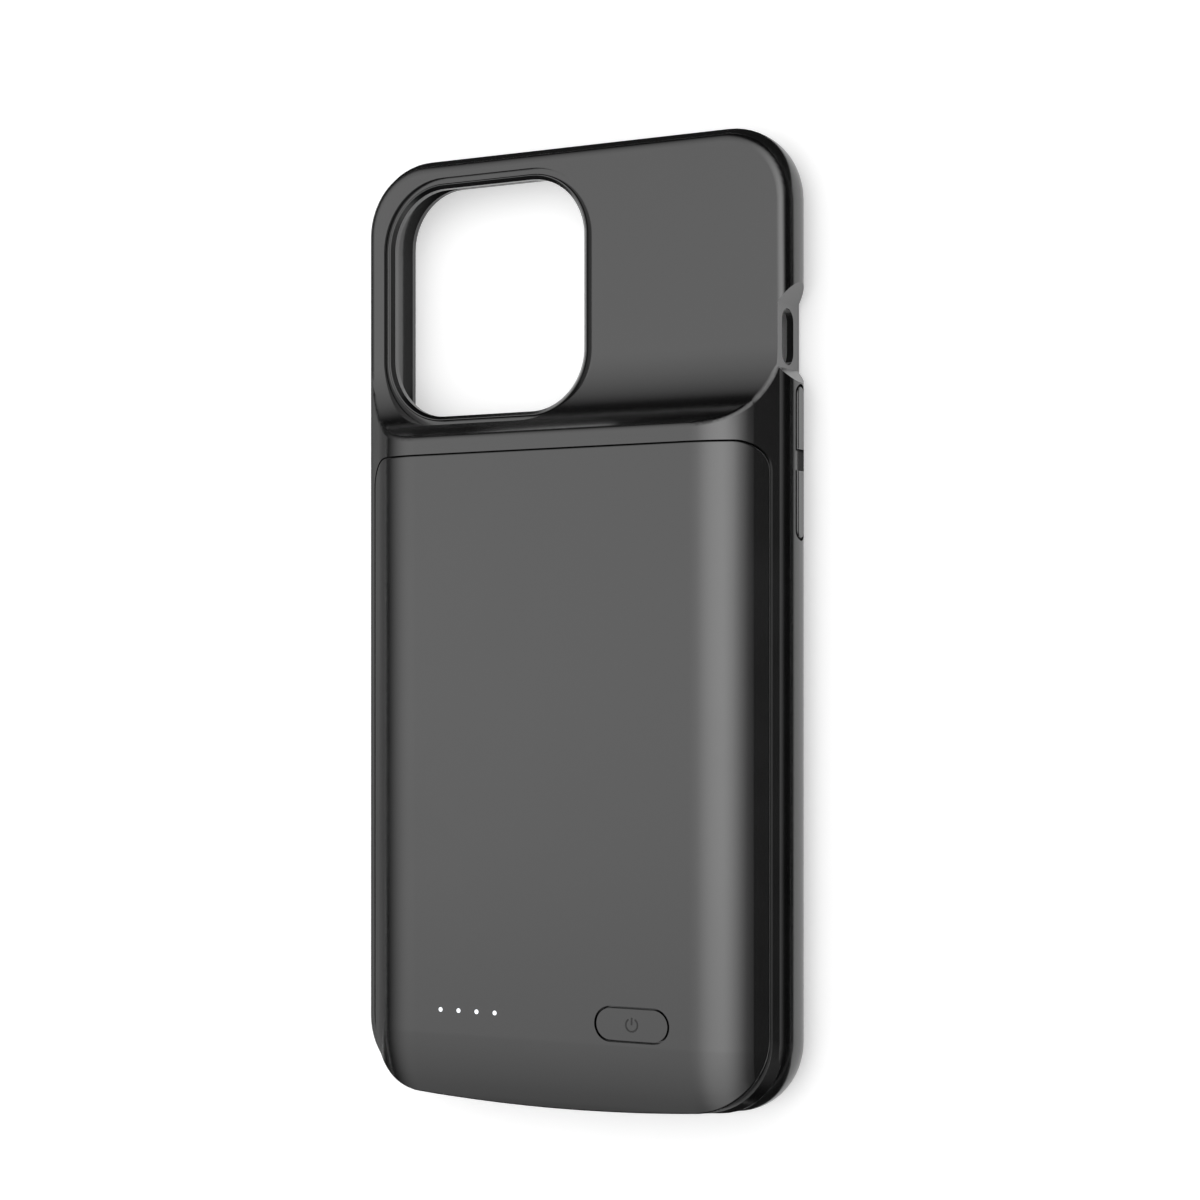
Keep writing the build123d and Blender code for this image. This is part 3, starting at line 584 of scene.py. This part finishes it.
class CASE_OT_stage(bpy.types.Operator):
    """Set the floor, the lamps, the sheets, the room and the camera"""

    bl_idname = "case.stage"
    bl_label = "Stage"

    def execute(self, context):
        studio = context.scene.case_studio
        self.floor(studio)
        self.softbox("Top Softbox", studio.top_angles, studio.top_fades, studio.top_power, studio)
        self.softbox("Left Softbox", studio.left_angles, studio.left_fades, studio.left_power, studio)
        self.sheets(studio)
        self.world()
        self.camera(studio)
        context.scene.view_settings.view_transform = "Standard"
        return {"FINISHED"}

    def floor(self, studio):
        """A pale floor that lies under the case."""
        mesh = bmesh.new()
        bmesh.ops.create_grid(
            mesh, x_segments=FLOOR_CELLS, y_segments=FLOOR_CELLS, size=FLOOR_HALF_SIZE
        )
        made = bpy.data.meshes.new("floor")
        mesh.to_mesh(made)
        mesh.free()
        floor = bpy.data.objects.new("floor", made)
        bpy.context.scene.collection.objects.link(floor)
        floor.location.z = -FLOOR_DROP
        made.materials.append(self.floor_paper(studio))

    def floor_paper(self, studio):
        """Pale paper that shows white to the camera, keeps the shadow and is clear from below. Its glow is
        cut under the case as painted shade and kept under the window as painted light.
        """
        paper, tree, shader = material("Floor Paper")
        shader.inputs["Roughness"].default_value = FLOOR_ROUGHNESS
        tone = ramp(tree, noise(tree, scale=FLOOR_GRAIN), (0.0, 1.0), FLOOR_TONES)
        put(tree, shader.inputs["Base Color"], tone)
        place = object_place(tree)
        # Painted shade: the glow seen by the camera is cut under the case; painted light: it is kept under
        # the window.
        painted_case_shade = self.soft_box(tree, place, CAD_BOX, *CASE_SHADE)
        painted_window_light = self.soft_box(tree, place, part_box("window_ring"), *WINDOW_LIGHT)
        bare = number(tree, "SUBTRACT", 1.0, number(tree, "SUBTRACT", painted_case_shade, painted_window_light, clamp=True))
        rays = linked(tree, "ShaderNodeLightPath").outputs
        seen = number(tree, "MULTIPLY_ADD", rays["Is Camera Ray"], bare, rays["Is Glossy Ray"])
        seen = number(tree, "ADD", seen, rays["Is Transmission Ray"], clamp=True)
        glow = ramp(tree, length(tree, place), GLOW_SPAN, (studio.floor_glow, 1.0), "SMOOTHSTEP")
        put(tree, shader.inputs["Emission Color"], number(tree, "MULTIPLY", seen, glow))
        shader.inputs["Emission Strength"].default_value = 1.0
        side = linked(tree, "ShaderNodeNewGeometry")
        clear = linked(tree, "ShaderNodeBsdfTransparent")
        either = linked(tree, "ShaderNodeMixShader")
        put(tree, either.inputs[0], side.outputs["Backfacing"])
        put(tree, either.inputs[1], shader.outputs["BSDF"])
        put(tree, either.inputs[2], clear.outputs["BSDF"])
        put(tree, tree.nodes["Material Output"].inputs["Surface"], either.outputs["Shader"])
        return paper

    def soft_box(self, tree, place, box, corner, near, far):
        """A mask in plan: 1 in a box with round corners, fading to 0 between two distances from its edge."""
        low, high = box
        middle = (low + high) / 2
        half = (high - low) / 2
        offset = vector(tree, "SUBTRACT", place, (middle.x, middle.y, 0.0)).outputs["Vector"]
        size = vector(tree, "ABSOLUTE", offset).outputs["Vector"]
        core = (half.x - corner, half.y - corner, 0.0)
        beyond = vector(tree, "SUBTRACT", size, core).outputs["Vector"]
        outside = vector(tree, "MAXIMUM", beyond).outputs["Vector"]
        span = (corner + near, corner + far)
        return ramp(tree, length(tree, outside), span, (1.0, 0.0), "SMOOTHSTEP")

    def softbox(self, name, angles, fades, radiance, studio):
        """A long lamp along the case between two angles from upright, given by its radiance."""
        low, high = (math.radians(angle) for angle in angles)
        middle = (low + high) / 2
        data = bpy.data.lights.new(name, "AREA")
        data.shape = "RECTANGLE"
        data.size = 2 * studio.box_distance * math.tan((high - low) / 2)
        data.size_y = studio.box_length
        data.spread = studio.box_spread
        data.energy = radiance * math.pi * data.size * data.size_y
        self.soften(data, fades, studio)
        lamp = bpy.data.objects.new(name, data)
        bpy.context.scene.collection.objects.link(lamp)
        lamp.location = studio.box_distance * Vector((math.sin(middle), 0.0, math.cos(middle)))
        lamp.rotation_euler = (0.0, middle, 0.0)
        lamp.visible_camera = False

    def soften(self, data, fades, studio):
        """Fades a lamp towards its two long edges, and a little over the port end of the case."""
        data.use_nodes = True
        tree = data.node_tree
        split = linked(tree, "ShaderNodeSeparateXYZ")
        put(tree, split.inputs[0], linked(tree, "ShaderNodeNewGeometry").outputs["Parametric"])
        across = split.outputs["X"]
        rise = ramp(tree, across, (0.0, fades[0]), (0.0, 1.0), "SMOOTHSTEP")
        fall = ramp(tree, across, (1.0, 1.0 - fades[1]), (0.0, 1.0), "SMOOTHSTEP")
        span = [0.5 + y / data.size_y for y in studio.end_span]
        end = ramp(tree, split.outputs["Y"], span, (studio.end_level, 1.0), "SMOOTHSTEP")
        level = number(tree, "MULTIPLY", number(tree, "MULTIPLY", rise, fall), end)
        put(tree, tree.nodes["Emission"].inputs["Strength"], level)

    def sheets(self, studio):
        """Dark sheets on the floor round the case, seen only in reflections: painted dark reflections that
        deepen its edges.
        """
        low, high = CAD_BOX
        far = studio.sheet_reach
        gap = studio.sheet_gap
        wide = (low.x - far, high.x + far)
        long = (low.y, high.y)
        black = self.sheet_card("Black Sheet", BLACK_LEVEL)
        grey = self.sheet_card("Grey Sheet", GREY_LEVEL)
        for name, across, along, card in (
            ("sheet_window_end", wide, (high.y + gap, high.y + far), black),
            ("sheet_port_end", wide, (low.y - far, low.y - gap), black),
            ("sheet_key_side", (high.x + studio.side_gap, high.x + far), long, black),
            ("sheet_plain_side", (low.x - far, low.x - gap), long, grey),
        ):
            (left, right), (near, away) = across, along
            corners = ((left, near), (right, near), (right, away), (left, away))
            mesh = bmesh.new()
            mesh.faces.new([mesh.verts.new((x, y, 0.0)) for x, y in corners])
            made = bpy.data.meshes.new(name)
            mesh.to_mesh(made)
            mesh.free()
            sheet = bpy.data.objects.new(name, made)
            bpy.context.scene.collection.objects.link(sheet)
            made.materials.append(card)
            # Painted reflection: the sheets are hidden from the camera, from diffuse light and from shadows,
            # and show only in gloss.
            sheet.visible_camera = False
            sheet.visible_diffuse = False
            sheet.visible_shadow = False

    def sheet_card(self, name, level):
        """Matt card of one tone, with a slight mottle."""
        made, tree, shader = material(name)
        shader.inputs["Roughness"].default_value = 1.0
        levels = ((1.0 - SHEET_MOTTLE) * level, (1.0 + SHEET_MOTTLE) * level)
        put(tree, shader.inputs["Base Color"], ramp(tree, noise(tree), (0.0, 1.0), levels))
        return made

    def world(self):
        """A dim even room that shows white to the camera."""
        world = bpy.data.worlds.new("Room")
        world.use_nodes = True
        tree = world.node_tree
        rays = linked(tree, "ShaderNodeLightPath").outputs
        seen = number(tree, "MAXIMUM", rays["Is Camera Ray"], rays["Is Transmission Ray"])
        level = number(tree, "MAXIMUM", seen, ROOM_LEVEL)
        put(tree, tree.nodes["Background"].inputs["Color"], level)
        bpy.context.scene.world = world

    def camera(self, studio):
        """The photograph's view: square to the length of the case, turned about it."""
        data = bpy.data.cameras.new("Camera")
        data.lens = studio.lens
        data.sensor_width = SENSOR_WIDTH
        data.shift_y = studio.shift
        data.clip_start = CLIP_START
        view = bpy.data.objects.new("Camera", data)
        bpy.context.scene.collection.objects.link(view)
        across = Vector((math.cos(studio.turn), 0.0, -math.sin(studio.turn)))
        back = Vector((math.sin(studio.turn), 0.0, math.cos(studio.turn)))
        view.location = studio.distance * back + studio.aside * across + Vector((0.0, studio.eye, 0.0))
        view.rotation_euler = (0.0, studio.turn, 0.0)
        bpy.context.scene.camera = view


class CASE_PT_panel(bpy.types.Panel):
    """Steps that dress the case"""

    bl_label = "Battery Charging Case"
    bl_idname = "CASE_PT_panel"
    bl_space_type = "VIEW_3D"
    bl_region_type = "UI"
    bl_category = "Case"

    def draw(self, context):
        column = self.layout.column()
        for step in STEPS:
            column.operator(step.bl_idname)


STEPS = (
    CASE_OT_shell,
    CASE_OT_keys,
    CASE_OT_button,
    CASE_OT_lights,
    CASE_OT_plug_and_port,
    CASE_OT_inside,
    CASE_OT_stage,
)
SETTINGS = (CaseFinish, CaseSign, CaseStudio)


def register():
    for kind in (*SETTINGS, *STEPS, CASE_PT_panel):
        bpy.utils.register_class(kind)
    bpy.types.Scene.case_finish = PointerProperty(type=CaseFinish)
    bpy.types.Scene.case_sign = PointerProperty(type=CaseSign)
    bpy.types.Scene.case_studio = PointerProperty(type=CaseStudio)


def unregister():
    del bpy.types.Scene.case_studio
    del bpy.types.Scene.case_sign
    del bpy.types.Scene.case_finish
    for kind in reversed((*SETTINGS, *STEPS, CASE_PT_panel)):
        bpy.utils.unregister_class(kind)


def main():
    register()
    bpy.ops.case.shell()
    bpy.ops.case.keys()
    bpy.ops.case.button()
    bpy.ops.case.lights()
    bpy.ops.case.plug_and_port()
    bpy.ops.case.inside()
    bpy.ops.case.stage()


if __name__ == "__main__":
    main()
